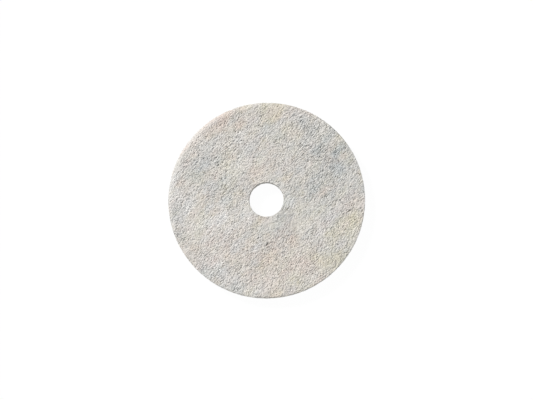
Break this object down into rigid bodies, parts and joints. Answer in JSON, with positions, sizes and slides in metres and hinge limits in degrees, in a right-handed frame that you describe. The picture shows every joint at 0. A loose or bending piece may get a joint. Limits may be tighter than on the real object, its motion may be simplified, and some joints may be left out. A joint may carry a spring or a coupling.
{
  "type": "nonwoven polishing pad",
  "caption": "Flat round felt-like polishing pad of layered nonwoven fibre, off-white natural-hair blend, straight cut rim and a round centre hole.",
  "frame": {"origin": "where the pad's axis meets the plane of its lower face", "axes": "+Z along the axis of spin, from the lower face to the upper one; the pad is round, so X and Y are free"},
  "size_m": [0.5079, 0.508, 0.0254],
  "materials": {
    "face_web": "matt, open blend of white synthetic fibre and cream and tan natural hair",
    "core_web": "matt, open blend of white synthetic fibre and cream and tan natural hair, cut edge"
  },
  "bodies": {
    "root": {"lower_face_ply": "face_web", "core_ply_1": "core_web", "core_ply_2": "core_web", "core_ply_3": "core_web", "core_ply_4": "core_web", "core_ply_5": "core_web", "core_ply_6": "core_web", "upper_face_ply": "face_web"}
  },
  "joints": []
}
